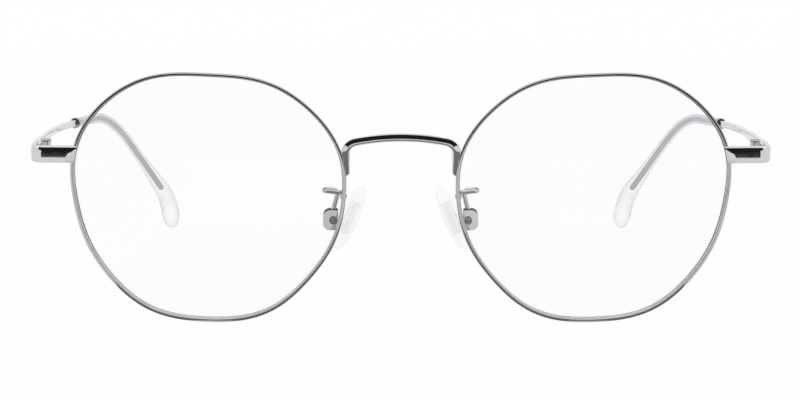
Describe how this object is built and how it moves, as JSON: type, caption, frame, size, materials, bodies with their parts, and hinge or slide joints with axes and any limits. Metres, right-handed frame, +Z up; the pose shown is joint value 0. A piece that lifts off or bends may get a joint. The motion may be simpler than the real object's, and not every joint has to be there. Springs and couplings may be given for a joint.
{
  "type": "round wire eyeglasses",
  "caption": "Full-rim metal eyeglasses with softly rounded eyes, thin bridge, adjustable clear nose pads, folding temples and clear temple tips, standing open.",
  "frame": {"origin": "on the surface it stands on, under the middle of its overall box", "axes": "+Z up, the front faces -Y, the temples run back along +Y, +X is the wearer's left"},
  "size_m": [0.1374, 0.138, 0.0471],
  "materials": {
    "frame_metal": "polished silver-coloured metal",
    "collar_metal": "polished, darker",
    "screw_steel": "turned steel",
    "lens": "clear, anti-reflection coated",
    "clear_tip": "clear polished acetate",
    "clear_pad": "clear soft silicone",
    "pad_insert": "translucent stiff plastic"
  },
  "bodies": {
    "front": {"bridge": "frame_metal", "rim_left": "frame_metal", "rim_right": "frame_metal", "lens_left": "lens", "lens_right": "lens", "end_piece_left": "frame_metal", "end_piece_right": "frame_metal", "closing_block_upper_left": "frame_metal", "closing_block_upper_right": "frame_metal", "closing_block_lower_left": "frame_metal", "closing_block_lower_right": "frame_metal", "rim_screw_left": "screw_steel", "rim_screw_right": "screw_steel", "front_hinge_leaf_left": "frame_metal", "front_hinge_leaf_right": "frame_metal", "hinge_screw_left": "screw_steel", "hinge_screw_right": "screw_steel", "pad_box_left": "frame_metal", "pad_box_right": "frame_metal", "pad_screw_left": "screw_steel", "pad_screw_right": "screw_steel", "pad_arm_left": "frame_metal", "pad_arm_right": "frame_metal"},
    "temple_left": {"temple_hinge_leaf_left": "frame_metal", "temple_left": "frame_metal", "temple_tip_left": "clear_tip", "temple_collar_left": "collar_metal"},
    "temple_right": {"temple_hinge_leaf_right": "frame_metal", "temple_right": "frame_metal", "temple_tip_right": "clear_tip", "temple_collar_right": "collar_metal"},
    "nose_pad_left": {"pad_insert_left": "pad_insert", "nose_pad_left": "clear_pad"},
    "nose_pad_right": {"pad_insert_right": "pad_insert", "nose_pad_right": "clear_pad"}
  },
  "joints": [
    {"name": "temple_fold_left", "type": "hinge", "parent": "front", "child": "temple_left", "pos_m": [0.06616, -0.059, 0.03191], "axis": [0, -0.0587, 0.9983], "range_deg": [0, 83]},
    {"name": "temple_fold_right", "type": "hinge", "parent": "front", "child": "temple_right", "pos_m": [-0.06616, -0.059, 0.03191], "axis": [0, 0.0587, -0.9983], "range_deg": [0, 79]},
    {"name": "pad_rock_left", "type": "hinge", "parent": "front", "child": "nose_pad_left", "pos_m": [0.01259, -0.05965, 0.01875], "axis": [0, 0.9983, 0.0587], "range_deg": [-8, 8]},
    {"name": "pad_rock_right", "type": "hinge", "parent": "front", "child": "nose_pad_right", "pos_m": [-0.01259, -0.05965, 0.01875], "axis": [0, -0.9983, -0.0587], "range_deg": [-8, 8]}
  ]
}
